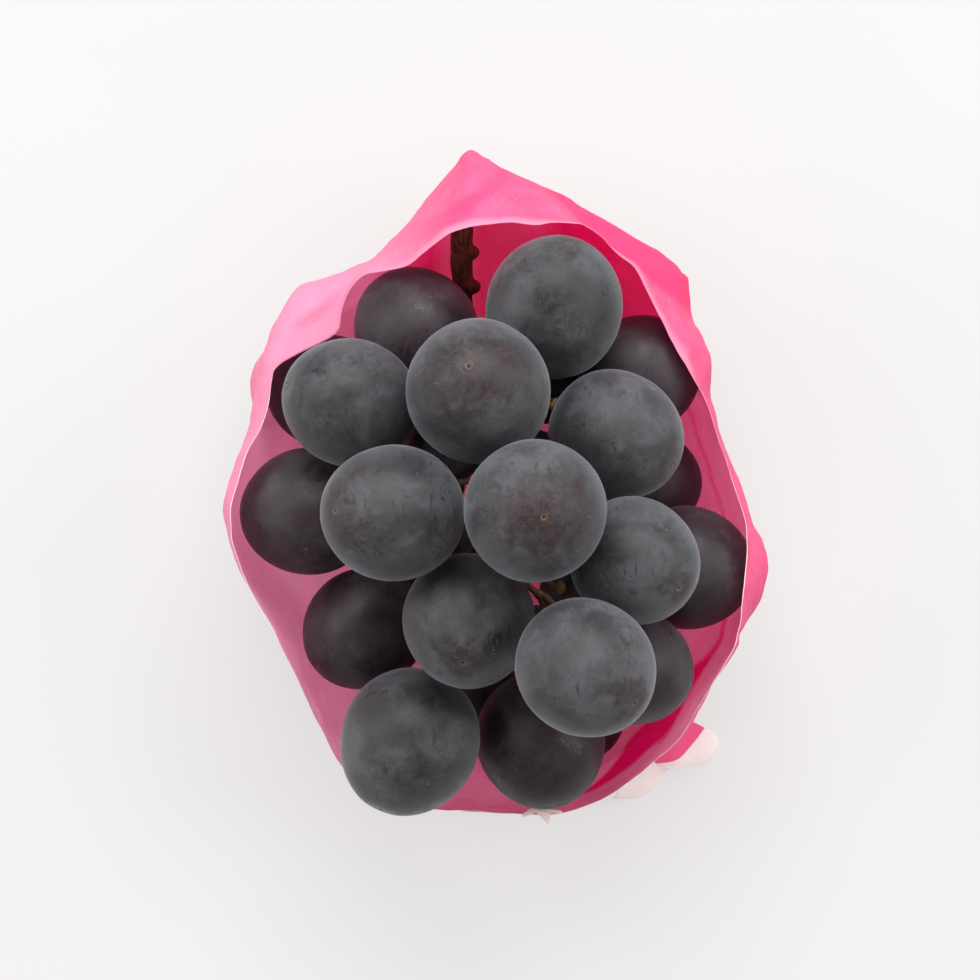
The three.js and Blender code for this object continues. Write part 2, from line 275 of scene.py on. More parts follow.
def brown_cover(g, clouds, patches, mottle):
    """Where brown breaks through: a ragged patch round the blossom scar, and stains elsewhere."""
    halo = g.attribute("halo")
    ragged = g.plus(g.attribute("tip_mm"), g.swing(clouds, 16.0))
    ragged = g.plus(ragged, g.swing(patches, 6.0))
    spread = g.plus(g.times(halo, HALO_REACH), BROWN_REACH)
    inside = g.math("SUBTRACT", 1.0, g.math("DIVIDE", ragged, spread), clamp=True)
    brown = g.times(g.span(inside, 0.0, 0.55), g.plus(halo, 0.35, clamp=True))
    stain = g.times(g.span(clouds, 0.58, 0.72), g.attribute("stain"))
    brown = g.larger(brown, g.times(stain, 0.7))
    broken = g.plus(patches, g.times(mottle, 0.6))
    return g.times(brown, g.span(broken, 0.98, 0.62, 0.35, 1.0))


def scar_colour(g, colour, fine):
    """The blossom scar: a corky ring round a dark hole."""
    torn = g.plus(g.attribute("tip_mm"), g.swing(fine, 0.7))
    ring = g.times(g.span(torn, 0.22, 0.42), g.span(torn, 0.50, 1.05, 1.0, 0.0))
    colour = g.mix(g.times(ring, 0.62), colour, CORK_RING)
    return g.mix(g.span(torn, 0.14, 0.34, 0.90, 0.0), colour, SCAR_HOLE)


BARK_DARK = (0.045, 0.021, 0.009)
BARK_LIGHT = (0.160, 0.085, 0.033)
BARK_GREEN = (0.078, 0.056, 0.019)
BARK_CORK = (0.15, 0.10, 0.05)


def stem_material():
    """Brown half-woody bark: lengthwise streaks, corky specks, greener where it is young."""
    g = Graph("stem_bark")
    where = g.place()
    streak = g.noise(g.vector("MULTIPLY", where, (1.0, 0.12, 1.0)), 1400.0, 4.0, 0.6)
    blotch = g.noise(where, 240.0, 3.0, 0.6)
    cork = g.span(g.cells(where, 800.0), 0.08, 0.2, 1.0, 0.0)
    colour = g.mix(g.span(streak, 0.35, 0.68), BARK_DARK, BARK_LIGHT)
    colour = g.mix(g.span(blotch, 0.45, 0.7, 0.0, 0.6), colour, BARK_GREEN)
    colour = g.mix(g.times(cork, 0.5), colour, BARK_CORK)
    height = g.plus(g.times(streak, 0.8), g.times(cork, 0.5))
    shader = g.principled(
        Base_Color=colour, Roughness=g.span(streak, 0.3, 0.7, 0.62, 0.85),
        Normal=g.bump(height, 0.0002, 0.7), Specular_IOR_Level=0.35,
    )
    return g.finish(shader)


# The printed outside is deeper in colour than the inside, where the ink only shows through. The inside inks
# are made paler still as painted light, for the light that the shaded inside walls lack.
PAPER_INKS = {
    "outside": {
        "deep": (0.97, 0.14, 0.33),
        "light": (0.98, 0.19, 0.40),
        "fibre": (0.99, 0.29, 0.51),
        "double_and_shade": (0.95, 0.06, 0.27),
        "double_fibre": (0.96, 0.11, 0.34),
    },
    "inside": {
        "deep": (0.99, 0.64, 0.80),
        "light": (0.99, 0.70, 0.84),
        "fibre": (0.99, 0.76, 0.88),
        "double_and_shade": (0.93, 0.012, 0.28),
        "double_fibre": (0.95, 0.05, 0.36),
    },
}
# Lighter pink painted as light along lit rims and over the left panel.
PAINTED_LIGHT_PINK = (0.99, 0.62, 0.78)
BARE_PAPER = (0.99, 0.93, 0.91)
LIGHT_THROUGH = 0.55             # the share of the light that the paper lets through


def paper_material(side):
    """Thin printed tissue that lets light through. It is bare along its margin, deeper in colour where it
    lies in two layers and where shade is painted, and paler pink where light is painted, which is told
    apart for each side of the sheet."""
    g = Graph("tissue_" + side)
    where = g.place()
    fibres = g.noise(g.vector("MULTIPLY", where, (1.0, 0.35, 1.0)), 1300.0, 4.0, 0.65, 0.6)
    mottle = g.noise(where, 150.0, 4.0, 0.6)
    wrinkle = g.noise(where, 420.0, 3.0, 0.55, 0.8)
    bare_edge = g.plus(g.attribute("bare"), g.swing(fibres, 0.25))
    inks = PAPER_INKS[side]
    ink = g.mix(g.span(mottle, 0.3, 0.7), inks["deep"], inks["light"])
    ink = g.mix(g.span(fibres, 0.42, 0.72, 0.0, 0.40), ink, inks["fibre"])
    # deeper where the paper lies in two layers and where shade is painted
    double_and_shade = g.mix(g.span(fibres, 0.4, 0.8, 0.0, 0.3), inks["double_and_shade"], inks["double_fibre"])
    ink = g.mix(g.attribute("double_" + side), ink, double_and_shade)
    # paler pink where light is painted
    ink = g.mix(g.attribute("painted_light_" + side), ink, PAINTED_LIGHT_PINK)
    colour = g.mix(g.span(bare_edge, 0.45, 0.55), ink, BARE_PAPER)
    height = g.plus(g.times(wrinkle, 1.0), g.times(fibres, 0.25))
    normal = g.bump(height, 0.00035, 0.75)
    face = g.principled(
        Base_Color=colour, Roughness=g.span(fibres, 0.3, 0.7, 0.42, 0.6), Normal=normal,
        Specular_IOR_Level=0.35,
    )
    through = g.node("ShaderNodeBsdfTranslucent")
    g.wire(colour, through.inputs["Color"])
    g.wire(normal, through.inputs["Normal"])
    both = g.node("ShaderNodeMixShader")
    g.wire(LIGHT_THROUGH, both.inputs[0])
    g.wire(face, both.inputs[1])
    g.wire(through.outputs[0], both.inputs[2])
    return g.finish(both.outputs[0])


TABLE_DARK = (0.170, 0.1695, 0.168)
TABLE_LIGHT = (0.180, 0.1795, 0.178)
TABLE_GLOW = (1.0, 0.994, 0.984, 1.0)
TABLE_GLOW_STRENGTH = 0.585


def table_material():
    """A pale table that glows a little, as a lit sweep does, so that light reaches the paper from below."""
    g = Graph("table")
    shade = g.span(g.noise(g.place(), 9.0, 2.0), 0.3, 0.7)
    return g.finish(g.principled(
        Base_Color=g.mix(shade, TABLE_DARK, TABLE_LIGHT), Roughness=0.75, Specular_IOR_Level=0.2,
        Emission_Color=TABLE_GLOW, Emission_Strength=TABLE_GLOW_STRENGTH))


OUTER_SKIN = berry_material(
    "berry_bloom", skin=(0.009, 0.006, 0.008), bloom_low=(0.029, 0.029, 0.032),
    bloom_high=(0.068, 0.069, 0.075), cover=0.52, sheen=0.23)
# A darker, wine-tinted copy of the bloom for the berries deep in the bunch: painted shade with a painted
# pink cast, on a thinner bloom.
SHADED_SKIN = berry_material(
    "berry_thin_bloom_painted_shade", skin=(0.013, 0.004, 0.008), bloom_low=(0.021, 0.015, 0.020),
    bloom_high=(0.043, 0.036, 0.042), cover=0.36, sheen=0.06)
BARK = stem_material()
TISSUE_SIDES = [paper_material("inside"), paper_material("outside")]

# ------------------------------------------------------------------ berries

ROUND_STEPS = 88
LENGTH_STEPS = 60
EGG = 0.03

# How each berry differs: brown round the scar, and stains elsewhere.
HALO = {"berry_03": 1.0, "berry_09": 1.1, "berry_08": 0.85, "berry_15": 0.55, "berry_16": 0.6,
        "berry_11": 0.4, "berry_05": 0.45, "berry_04": 0.25, "berry_18": 0.2}
STAIN = {"berry_03": 0.7, "berry_09": 0.6, "berry_16": 0.5, "berry_14": 0.6, "berry_19": 0.5,
         "berry_12": 0.6, "berry_17": 0.6, "berry_01": 0.3}


def berry_frame(node, stem_tree):
    """Middle, way to the blossom end, half length and widest radius of a berry of the frame."""
    points = points_of(node)
    middle = points.mean(0)
    away = points - middle
    axis = np.linalg.eigh(away.T @ away)[1][:, -1]
    half = np.abs(away @ axis).max()
    across = np.linalg.norm(away - np.outer(away @ axis, axis), axis=1).max()
    ends = [Vector(middle + axis * half), Vector(middle - axis * half)]
    gaps = [stem_tree.find(end)[2] for end in ends]
    tip = -axis if gaps[0] < gaps[1] else axis
    return Vector(middle), Vector(tip), half, across


def make_berry(node, stem_tree, seed):
    middle, tip, half, radius = berry_frame(node, stem_tree)
    verts, arcs = [], []
    rng = np.random.default_rng(seed)
    lean = rng.uniform(-1, 1, 3)
    for row in range(LENGTH_STEPS + 1):
        angle = math.pi * row / LENGTH_STEPS
        # finer rows towards the scar
        angle = math.pi * ((angle / math.pi) ** 1.35)
        arc = angle * radius
        for i in range(ROUND_STEPS):
            turn = 2 * math.pi * i / ROUND_STEPS
            direction = Vector((
                math.sin(angle) * math.cos(turn), math.sin(angle) * math.sin(turn), math.cos(angle)))
            swell = 1 + 0.016 * noise.noise(direction * 1.1 + Vector((seed, 0, 0)))
            swell += 0.004 * noise.noise(direction * 3.3 + Vector((0, seed, 0)))
            wide = radius * (1 / (1 + EGG) + 0.008) * (1 - EGG * direction.z) * swell
            point = Vector((direction.x * wide, direction.y * wide, direction.z * half * swell))
            point.x += 0.012 * radius * lean[0] * direction.z ** 2
            point.y += 0.012 * radius * lean[1] * direction.z ** 2
            # the scar sits in a shallow dip, with a low rim and a pit; the stalk in a deeper one
            dip = 0.30 * MM * math.exp(-(arc / (2.4 * MM)) ** 2)
            rim = 0.16 * MM * math.exp(-((arc - 0.60 * MM) / (0.25 * MM)) ** 2)
            pit = 0.30 * MM * math.exp(-(arc / (0.28 * MM)) ** 2)
            back = (math.pi - angle) * radius
            well = 0.9 * MM * math.exp(-(back / (2.6 * MM)) ** 2)
            point -= direction * (dip - rim + pit + well)
            verts.append(point)
            arcs.append(arc / MM)
    faces = []
    for row in range(LENGTH_STEPS):
        for i in range(ROUND_STEPS):
            a = row * ROUND_STEPS + i
            b = row * ROUND_STEPS + (i + 1) % ROUND_STEPS
            faces.append((a, b, b + ROUND_STEPS, a + ROUND_STEPS)[::-1])
    shaded = frame_slot[node] == "shaded_berry_skin"
    obj = new_object("grape_" + node[-2:], verts, faces, SHADED_SKIN if shaded else OUTER_SKIN)
    add_attribute(obj, "tip_mm", arcs)
    add_attribute(obj, "halo", [HALO.get(node, 0.3)] * len(verts))
    add_attribute(obj, "stain", [STAIN.get(node, 0.15)] * len(verts))
    close_poles(obj)
    turn = Vector((0, 0, 1)).rotation_difference(tip)
    spin = Matrix.Rotation(rng.uniform(0, 2 * math.pi), 4, "Z")
    obj.data.transform(Matrix.Translation(middle) @ turn.to_matrix().to_4x4() @ spin)
    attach(obj, "root")
    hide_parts(node)
    return obj


def close_poles(obj):
    bm = bmesh.new()
    bm.from_mesh(obj.data)
    bmesh.ops.remove_doubles(bm, verts=bm.verts, dist=1e-7)
    bmesh.ops.recalc_face_normals(bm, faces=bm.faces)
    bm.to_mesh(obj.data)
    bm.free()


frame_slot = {entry["node"]: entry["material_slot"] for entry in frame["record"]["subparts"]}

stem_points = points_of("stem")
stem_tree = KDTree(len(stem_points))
for i, p in enumerate(stem_points):
    stem_tree.insert(p, i)
stem_tree.balance()

berry_names = sorted(n for n in nodes if n.startswith("berry_"))
for number, name in enumerate(berry_names, 1):
    make_berry(name, stem_tree, number)

# ------------------------------------------------------------------ stem

STEM_VOXEL = 0.00042
KNOTS = [(0.0022, 0.048, 0.0016), (0.0020, 0.041, 0.0017), (-0.0020, 0.055, 0.0014)]


def make_stem():
    """The CAD stem, made organic: collars at the berries, knots, a ragged cut and rough bark."""
    bm = bmesh.new()
    bm.from_mesh(nodes["stem"].data)
    for name in berry_names:
        middle, tip, half, _ = berry_frame(name, stem_tree)
        where = middle - tip * (half + 0.9 * MM)
        flat = Matrix.Diagonal((1.9 * MM, 1.9 * MM, 0.9 * MM, 1))
        turn = Vector((0, 0, 1)).rotation_difference(tip).to_matrix().to_4x4()
        bmesh.ops.create_icosphere(
            bm, subdivisions=2, radius=1, matrix=Matrix.Translation(where) @ turn @ flat)
    top = stem_points[stem_points[:, 1] > 0.037]
    for across, along, size in KNOTS:
        near = top[np.abs(top[:, 1] - along) < 0.004].mean(0)
        where = Vector((near[0] + across, along, near[2] + 0.0008))
        bmesh.ops.create_icosphere(
            bm, subdivisions=2, radius=size, matrix=Matrix.Translation(where))
    mesh = bpy.data.meshes.new("grape_stem")
    bm.to_mesh(mesh)
    bm.free()
    obj = bpy.data.objects.new("grape_stem", mesh)
    bpy.context.scene.collection.objects.link(obj)
    remesh = obj.modifiers.new("remesh", "REMESH")
    remesh.mode = "VOXEL"
    remesh.voxel_size = STEM_VOXEL
    smooth = obj.modifiers.new("smooth", "SMOOTH")
    smooth.factor = 0.5
    smooth.iterations = 3
    bpy.context.view_layer.update()
    done = bpy.data.meshes.new_from_object(obj.evaluated_get(bpy.context.evaluated_depsgraph_get()))
    obj.modifiers.clear()
    obj.data = done
    normals = np.array([v.normal for v in done.vertices])
    co = np.array([v.co for v in done.vertices])
    ridges = noise_field(co * [1, 0.2, 1], 700, 3) * 0.16 * MM
    lumps = noise_field(co, 260, 5) * 0.22 * MM
    co += normals * (ridges + lumps)[:, None]
    done.vertices.foreach_set("co", co.astype(np.float32).ravel())
    done.polygons.foreach_set("use_smooth", [True] * len(done.polygons))
    done.materials.clear()
    done.materials.append(BARK)
    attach(obj, "root")
    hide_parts("stem")
    return obj


make_stem()

# ------------------------------------------------------------------ paper sleeve

PAPER_THICK = 0.00009
SPLIT = 6                        # fine grid steps for each step of the frame's own grid
FRONT_SHARE = 0.30               # the rows from the rim out to the sleeve's widest part
CALM_ROWS = 8                    # the creases are shallower in these rows beside the rim
TABLE_GAP = 0.00012              # how far the underside stays above the table
BERRY_ROOM = 0.0006              # left between the paper and a berry


def sleeve_grid():
    """The outside of the frame's sleeve as rings of points, from the rim inwards, and its middle."""
    bm = bmesh.new()
    bm.from_mesh(nodes["paper_sleeve"].data)
    bmesh.ops.remove_doubles(bm, verts=bm.verts, dist=2e-6)
    sharp = {e for e in bm.edges if e.calc_face_angle(0) > math.radians(55)}
    edge_faces = [f for f in bm.faces
                  if min(e.calc_length() for e in f.edges) < 0.75 * MM and sharp & set(f.edges)]
    bmesh.ops.delete(bm, geom=edge_faces, context="FACES_ONLY")
    bmesh.ops.delete(bm, geom=[e for e in bm.edges if not e.link_faces], context="EDGES")
    left = set(bm.verts)
    shells = []
    while left:
        shell, queue = set(), [left.pop()]
        while queue:
            v = queue.pop()
            shell.add(v)
            for e in v.link_edges:
                o = e.other_vert(v)
                if o in left:
                    left.remove(o)
                    queue.append(o)
        shells.append(shell)
    outer = min((s for s in shells if len(s) > 100), key=lambda s: min(v.co.z for v in s))
    rim = {v for v in outer if any(len(e.link_faces) == 1 for e in v.link_edges)}
    rings, seen, ring = [], set(), rim
    while len(ring) == len(rim):
        rings.append(walk(ring))
        seen |= ring
        ring = {e.other_vert(v) for v in ring for e in v.link_edges} & outer - seen
    grid = [np.array([v.co for v in r]) for r in rings]
    bm.free()
    middle = grid[-1].mean(0) * [1, 1, 0]
    grid += [grid[-1] * (1 - t) * [1, 1, 0] + middle * t for t in (0.3, 0.6, 0.85)]
    for k in range(1, len(grid)):
        grid[k] = line_up(grid[k - 1], grid[k])
    if signed_area(grid[0]) < 0:
        grid = [g[::-1] for g in grid]
    start = int(np.argmax(grid[0][:, 1]))
    return [np.roll(g, -start, axis=0) for g in grid], middle


def walk(ring):
    """The points of a ring in their order round it."""
    start = min(ring, key=lambda v: (v.co.x, v.co.y, v.co.z))
    order, done = [start], {start}
    while len(order) < len(ring):
        options = [e.other_vert(order[-1]) for e in order[-1].link_edges]
        options = [v for v in options if v in ring and v not in done]
        if not options:
            break
        nearest = min(options, key=lambda v: (v.co - order[-1].co).length)
        order.append(nearest)
        done.add(nearest)
    return order


def line_up(before, ring):
    best = None
    for flipped in (ring, ring[::-1]):
        for turn in range(len(ring)):
            rolled = np.roll(flipped, turn, axis=0)
            cost = ((rolled - before) ** 2).sum()
            if best is None or cost < best[0]:
                best = (cost, rolled)
    return best[1]


def signed_area(ring):
    x, y = ring[:, 0], ring[:, 1]
    return 0.5 * (x * np.roll(y, -1) - np.roll(x, -1) * y).sum()


def spline(values, steps, closed):
    """Catmull-Rom through rows of points, each gap cut into steps."""
    count = len(values)
    gaps = count if closed else count - 1
    rows = []
    for i in range(gaps):
        if closed:
            p = [values[(i + k) % count] for k in (-1, 0, 1, 2)]
        else:
            p = [values[min(max(i + k, 0), count - 1)] for k in (-1, 0, 1, 2)]
        for s in range(steps):
            t = s / steps
            rows.append(0.5 * (2 * p[1] + (p[2] - p[0]) * t
                               + (2 * p[0] - 5 * p[1] + 4 * p[2] - p[3]) * t ** 2
                               + (3 * p[1] - p[0] - 3 * p[2] + p[3]) * t ** 3))
    if not closed:
        rows.append(values[-1])
    return np.array(rows)


def sheet_normals(grid):
    along = np.roll(grid, -1, axis=1) - np.roll(grid, 1, axis=1)
    out = np.gradient(grid, axis=0)
    n = np.cross(along, out)
    length = np.linalg.norm(n, axis=2, keepdims=True)
    return n / np.maximum(length, 1e-12)


def tent(distance, width):
    return np.clip(1 - np.abs(distance) / width, 0, 1)


# The folds along the hood's crown and along its left panel, across the bunch in millimetres.
CROWN_FOLD = [(1.4, 60.8), (-1.3, 58.3), (-8, 52.8), (-14.2, 49.9), (-20.3, 47.9)]
PANEL_FOLD = [(-27.8, 43.4), (-35.3, 38), (-42.3, 32.5), (-46.3, 24)]

# Folds pressed into the paper: the line of each across the bunch in millimetres, how far it stands
# proud, the half width of its ridge, and whether only the front rows have it or all of them.
FOLDS = [
    (CROWN_FOLD, 0.9, 3.4, "front"),
    ([(-1.9, 66), (7, 60.6), (13.9, 54.8), (20.9, 49.3)], 0.9, 2.6, "front"),
    ([(-0.8, 58.4), (3.5, 57.0), (9.7, 57.5)], 0.5, 2.0, "front"),
    ([(-8.3, 66), (-12.3, 57), (-16.3, 52)], -0.5, 2.2, "front"),
    (PANEL_FOLD, 0.9, 2.6, "front"),
    ([(26.2, 50), (31.7, 44), (37.7, 36), (40.2, 27)], 0.7, 2.0, "front"),
    ([(31.7, 48), (35.7, 46), (39.2, 44)], -0.8, 1.6, "front"),
    ([(48.7, -33), (41.7, -41), (35.7, -48), (27.7, -56)], 0.9, 1.8, "all"),
    ([(44.7, -28), (37.7, -38), (31.7, -46), (22.7, -53)], 0.6, 1.6, "all"),
    ([(-37.3, -33), (-32.3, -43), (-26.3, -51)], 0.6, 2.0, "all"),
    ([(-45.3, -14), (-39.3, -24), (-36.3, -34)], -0.6, 2.2, "all"),
    ([(40.7, 4), (42.7, 14), (38.7, 24)], 0.5, 1.8, "all"),
]


def line_distance(flat, line):
    """How far points are from a line of straight stretches, seen from above, in millimetres."""
    best = np.full(len(flat), 1e9)
    for a, b in zip(line, line[1:]):
        a, b = np.array(a, float), np.array(b, float)
        t = np.clip(((flat - a) @ (b - a)) / ((b - a) @ (b - a)), 0, 1)
        best = np.minimum(best, np.linalg.norm(flat - (a + t[:, None] * (b - a)), axis=1))
    return best


def pressed_folds(grid):
    rows, count, _ = grid.shape
    flat = grid.reshape(-1, 3) / MM
    front = np.repeat(np.arange(rows) < rows * FRONT_SHARE, count)
    offset = np.zeros(len(flat))
    for line, proud, half_width, rows_with_it in FOLDS:
        ridge = proud * MM * tent(line_distance(flat[:, :2], line), half_width)
        offset += ridge * front if rows_with_it == "front" else ridge
    return -offset.reshape(rows, count)


def crumple(grid):
    """Creases and dents of handled tissue, as an offset along the sheet's normal."""
    rows, count, _ = grid.shape
    flat = grid.reshape(-1, 3)
    cells = facet_field(flat * [1, 0.6, 1], 48, 11)
    small_cells = facet_field(flat * [1, 0.8, 1], 115, 23)
    fine = 1 - 2 * np.abs(noise_field(flat, 300, 37))
    soft = noise_field(flat, 24, 5)
    offset = 1.0 * MM * soft + 1.5 * MM * cells + 0.65 * MM * small_cells
    offset += 0.10 * MM * (fine - 0.5)
    return (offset - offset.mean()).reshape(rows, count)


def facet_field(points, scale, seed):
    """Flat facets that meet in sharp creases, from 0 to about 1."""
    shift = Vector((seed * 3.7, seed * 1.3, seed * 7.1))
    wander = noise_field(points, scale * 0.6, seed) * 0.5
    out = np.zeros(len(points))
    for i, p in enumerate(points):
        near = noise.voronoi(Vector(p) * scale + shift, distance_metric="DISTANCE")[0]
        out[i] = min(near[1] - near[0], 0.8)
    return out + wander


def keep_off_berries(grid, room):
    """Moves the points of a grid out of the berries, and room further."""
    for middle, axes, radii in berry_balls:
        local = (grid - middle) @ axes
        reach = np.linalg.norm(local / (radii + room), axis=2)
        push = np.maximum(1 / np.maximum(reach, 1e-6) - 1, 0)[..., None]
        grid = grid + np.where(push > 0, (local * push) @ axes.T, 0)
    return grid


def ball(node):
    """A berry as an ellipsoid: its middle, its axes as columns and its radii along them."""
    middle, tip, half, radius = berry_frame(node, stem_tree)
    z = np.array(tip)
    x = np.cross(z, [0.3, 0.5, 0.8])
    x /= np.linalg.norm(x)
    axes = np.stack([x, np.cross(z, x), z], 1)
    return np.array(middle), axes, np.array([radius, radius, half])


berry_balls = [ball(n) for n in berry_names]


def make_sleeve():
    rings, middle = sleeve_grid()
    rough = np.array(rings)
    fine = spline(spline(rough, SPLIT, False).transpose(1, 0, 2), SPLIT, True).transpose(1, 0, 2)
    rows, count, _ = fine.shape
    normal = sheet_normals(fine)
    lift = smoothstep(0.0010, 0.0060, fine[..., 2])
    lift = lift * smoothstep(-CALM_ROWS, CALM_ROWS, np.arange(rows))[:, None]
    fine = fine + normal * ((crumple(fine) + pressed_folds(fine)) * lift)[..., None]
    fine = keep_off_berries(fine, BERRY_ROOM)
    fine[..., 2] = np.maximum(fine[..., 2], TABLE_GAP)
    verts = list(fine.reshape(-1, 3))
    verts.append(np.array([middle[0], middle[1], TABLE_GAP]))
    faces = []
    for row in range(rows - 1):
        for i in range(count):
            a, b = row * count + i, row * count + (i + 1) % count
            faces.append((a, b, b + count, a + count))
    last = (rows - 1) * count
    for i in range(count):
        faces.append((last + i, last + (i + 1) % count, len(verts) - 1))
    obj = new_object("tissue_sleeve", verts, faces, TISSUE_SIDES[0])
    inwards = np.linalg.norm(np.diff(fine, axis=0), axis=2).cumsum(0) / MM
    inwards = np.vstack([np.zeros((1, count)), inwards])
    inside = rim_gap(fine)
    add_attribute(obj, "bare", [*bare_margin(fine, inwards).ravel(), 0.0])
    for name, values in {**outside_tones(fine, inwards), **inside_tones(fine, inside)}.items():
        add_attribute(obj, name, [*values.ravel(), 0.0])
    return finish_paper(obj), fine


def finish_paper(obj):
    obj.data.materials.append(TISSUE_SIDES[1])
    thick = obj.modifiers.new("thickness", "SOLIDIFY")
    thick.thickness = PAPER_THICK
    thick.offset = 0
    thick.material_offset = 1
    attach(obj, "root")
    return obj


def rim_gap(grid):
    """How far inside the rim each point is, seen from above, in millimetres; less than 0 outside."""
    tree = KDTree(grid.shape[1])
    for i, p in enumerate(grid[0]):
        tree.insert((p[0], p[1], 0), i)
    tree.balance()
    gaps = np.zeros(grid.shape[:2])
    for place in np.ndindex(gaps.shape):
        x, y, _ = grid[place]
        near, _, gap = tree.find((x, y, 0))
        gaps[place] = gap if math.hypot(x, y) < near.length else -gap
    return gaps / MM


def strip(distance, low, high, soft=0.5):
    """1 between two distances, 0 outside them, with soft ends."""
    return smoothstep(low - soft, low + soft, distance) * smoothstep(high + soft, high - soft, distance)


def hem_width(x):
    """How far in the folded hem reaches at the lower right, in millimetres, widest half way along."""
    return 1.5 + 4.3 * np.exp(-((x - 33) / 10) ** 2)


def right_of(x, y, a, b):
    """1 on the far side of the line from a down to b, 0 on the near side, with a soft edge."""
    across = (x - a[0]) * (a[1] - b[1]) + (y - a[1]) * (b[0] - a[0])
    return smoothstep(-0.8, 0.8, across / math.dist(a, b))


def front_rows(count):
    """1 in the rows from the rim down to the fold, 0 in the rows behind it, with a soft change."""
    shares = np.arange(count) / count
    return smoothstep(FRONT_SHARE + 0.05, FRONT_SHARE - 0.03, shares)[:, None]


def value_at(line, x):
    """The second value of a line of places where the first one is x."""
    places = sorted(line)
    return np.interp(x, [place[0] for place in places], [place[1] for place in places])


def outside_tones(grid, inwards):
    """How deep and how pale the outside is: deeper where it lies in two layers, paler as painted light
    along the hood's rim and over the left side; only the front of the hood and its panels differ.
    """
    x, y = grid[..., 0] / MM, grid[..., 1] / MM
    front = front_rows(len(grid))
    # right of the hood's long fold, above its short one, and under the fold of its left panel
    hood = front * right_of(x, y, (-1.9, 66), (20.9, 49.3)) * right_of(x, y, (20.9, 49.3), (39.7, 28))
    hood = hood * smoothstep(-3, 0, x) * smoothstep(16, 24, y) * 0.8
    above = y - value_at(CROWN_FOLD, x)
    crown = front * strip(above, 0.2, 4.5, 1.0) * smoothstep(-25, -21, x) * smoothstep(5, 1, x)
    crown = crown * smoothstep(38, 42, y) * 0.42
    below = value_at(PANEL_FOLD, x) - y
    panel = front * smoothstep(-0.6, 0.8, below) * smoothstep(-25, -29, x) * smoothstep(4, 12, y)
    # painted light: paler pink along the hood's rim and over the left side
    hood_rim = smoothstep(15, 25, y) * strip(inwards, -1, 2.0, 1.0) * 0.5
    left = smoothstep(-6, -30, x) * 0.5
    return {"double_outside": np.maximum.reduce([hood, crown, panel * 0.30]),
            "painted_light_outside": np.maximum(hood_rim, left)}


# How deep the painted shade in the throat is at places across the bunch in millimetres.
THROAT_SHADE = [(-27, 0.2), (-21, 0.8), (-14, 0.9), (-10, 0.3), (-7, 0.35), (-3, 0.65), (9, 0.65),
                (14, 0.95), (25, 0.95), (27, 0.85)]


def inside_tones(grid, inside):
    """How deep and how pale the inside is: deeper along the folded hem, where it lies in two layers with
    painted shade, and as painted shade along a crease on the right, in the throat and under the hood; paler
    as painted light along the rim and the fold at the lower right.
    """
    x, y = grid[..., 0] / MM, grid[..., 1] / MM
    front = front_rows(len(grid))
    # the folded hem: two layers, with painted shade in them
    hem = smoothstep(13, 18, x) * smoothstep(-15, -21, y) * strip(inside, 1.4, hem_width(x), 0.4)
    # a painted dark line of shade along a crease on the right
    crease = (x > 30) * smoothstep(-12, -6, y) * smoothstep(22, 16, y)
    crease = crease * strip(inside, 2.3, 2.7, 0.4) * 0.8
    # painted shade in the throat behind the hood
    throat = (1 - front) * smoothstep(25, 36, y) * value_at(THROAT_SHADE, x)
    # painted light: paler pink along the rim and the fold at the lower right
    lower_right = smoothstep(8, 20, x) * smoothstep(-14, -22, y)
    rim = lower_right * strip(inside, -9, 1.3, 0.4) * 0.35
    fold = lower_right * (x > 18) * strip(inside - hem_width(x), 0.3, 2.4) * 0.45
    # painted shade under the hood
    under_hood = front * smoothstep(16, 24, y) * smoothstep(-34, -10, x) * 0.5
    return {"double_inside": np.clip(np.maximum.reduce([hem, crease, throat, under_hood]), 0, 1),
            "painted_light_inside": np.maximum(rim, fold)}


def bare_margin(grid, inwards):
    """The bare margin along the rim: a hair wide all round, wider at the foot of the bunch."""
    turn = np.arange(grid.shape[1]) / grid.shape[1]
    width = 0.1 + 0.22 * np.sin(2 * math.pi * (turn * 3 + 0.2))
    width = width - 0.6 * (turn < 0.2) - 0.6 * (turn > 0.8)
    x, y = grid[0, :, 0] / MM, grid[0, :, 1] / MM
    width = width + 0.9 * (x > -8) * (x < 6) * (y < -55)
    return smoothstep(width + 0.35, width - 0.35, inwards)


# Loose bits of the sleeve's lower edge. Each runs out from the wall through its lines of points,
# given in millimetres, and is bare of ink beyond the first line or all over.
FLAPS = {
    "sleeve_tab": ([
        [(44.3, -52.4, 7.0), (41.9, -55.8, 6.5), (38.7, -59.0, 6.0), (34.1, -60.0, 6.0)],
        [(47.6, -54.8, 4.5), (47.2, -57.4, 3.5), (44.3, -60.4, 3.0), (38.3, -61.2, 4.5)]], "beyond"),
    "sleeve_scrap": ([
        [(35.1, -60.4, 5.0), (32.7, -61.8, 5.0), (29.2, -64.0, 5.0), (25.7, -66.0, 5.0)],
        [(36.9, -61.4, 3.0), (34.3, -65.2, 1.6), (30.1, -67.4, 1.6), (24.9, -67.8, 3.0)]], "all"),
}

# The white corner turned over the rim below the bunch: a band along it and a point hanging from it.
CORNER = {
    "sleeve_corner_band": [[(5.1, -69.7), (7.6, -68.2), (10.7, -68.3), (13.7, -68.6)],
                           [(5.7, -70.1), (8.3, -69.2), (10.9, -69.2), (13.7, -69.2)]],
    "sleeve_corner_point": [[(7.9, -68.6), (9.1, -68.7), (10.3, -68.8), (11.3, -68.9)],
                            [(10.5, -71.2), (10.7, -71.4), (10.9, -71.4), (11, -71.3)]],
}
CORNER_LIFT = 0.7                # how far the turned corner stands over the rim
FLAP_ROOT = np.array([1.012, 1.012, 1])   # the flaps start just outside the wall


